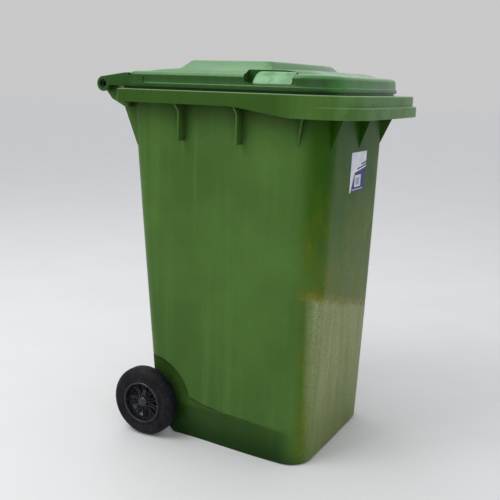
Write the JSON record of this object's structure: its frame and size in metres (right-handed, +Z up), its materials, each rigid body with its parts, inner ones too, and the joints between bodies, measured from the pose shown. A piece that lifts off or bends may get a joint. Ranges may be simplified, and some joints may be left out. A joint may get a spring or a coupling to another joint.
{
  "type": "two-wheeled refuse bin",
  "caption": "Green plastic wheelie bin with a hinged domed lid, front lifting lip, rear handle bar and solid rubber wheels on a through axle.",
  "frame": {"origin": "on the ground, under the middle of the bin's bounding box", "axes": "+X is the width towards the right wheel seen from the front, -Y is the front, +Z is up"},
  "size_m": [0.58, 0.753, 1.057],
  "materials": {
    "green_body": "moulded polyethylene, satin, weathered",
    "green_lid": "moulded polyethylene, satin",
    "black_pin": "moulded polyamide",
    "buffer_rubber": "soft rubber",
    "label_film": "printed film, plain colour areas, no lettering",
    "axle_steel": "zinc plated",
    "black_spacer": "moulded polyethylene",
    "tyre_rubber": "solid rubber, dusty",
    "hub_plastic": "moulded polypropylene, glossy",
    "bush_nylon": "natural nylon",
    "latch_steel": "bright zinc"
  },
  "bodies": {
    "bin": {"bin_body": "green_body", "left_hinge_pin": "black_pin", "right_hinge_pin": "black_pin", "front_label": "label_film", "wheel_axle": "axle_steel", "left_axle_spacer": "black_spacer", "right_axle_spacer": "black_spacer"},
    "lid": {"lid": "green_lid", "lid_buffers": "buffer_rubber"},
    "left_wheel": {"left_tyre": "tyre_rubber", "left_wheel_hub": "hub_plastic", "left_hub_bush": "bush_nylon", "left_hub_cap": "hub_plastic", "left_latch_plug": "hub_plastic", "left_latch_spring": "latch_steel"},
    "left_latch": {"left_latch_pin": "latch_steel"},
    "right_wheel": {"right_tyre": "tyre_rubber", "right_wheel_hub": "hub_plastic", "right_hub_bush": "bush_nylon", "right_hub_cap": "hub_plastic", "right_latch_plug": "hub_plastic", "right_latch_spring": "latch_steel"},
    "right_latch": {"right_latch_pin": "latch_steel"}
  },
  "joints": [
    {"name": "lid_hinge", "type": "hinge", "parent": "bin", "child": "lid", "pos_m": [0, 0.3565, 0.9895], "axis": [-1, 0, 0], "range_deg": [0, 265]},
    {"name": "left_wheel_spin", "type": "hinge", "parent": "bin", "child": "left_wheel", "pos_m": [-0.254, 0.2285, 0.1], "axis": [1, 0, 0], "continuous": true},
    {"name": "left_latch_slide", "type": "slide", "parent": "left_wheel", "child": "left_latch", "axis": [0, 0, 1], "range_m": [0, 0.0024], "stiffness_N_per_m": 800, "springref_m": -0.004, "deforming": ["left_latch_spring"]},
    {"name": "right_wheel_spin", "type": "hinge", "parent": "bin", "child": "right_wheel", "pos_m": [0.254, 0.2285, 0.1], "axis": [1, 0, 0], "continuous": true},
    {"name": "right_latch_slide", "type": "slide", "parent": "right_wheel", "child": "right_latch", "axis": [0, 0, 1], "range_m": [0, 0.0024], "stiffness_N_per_m": 800, "springref_m": -0.004, "deforming": ["right_latch_spring"]}
  ]
}
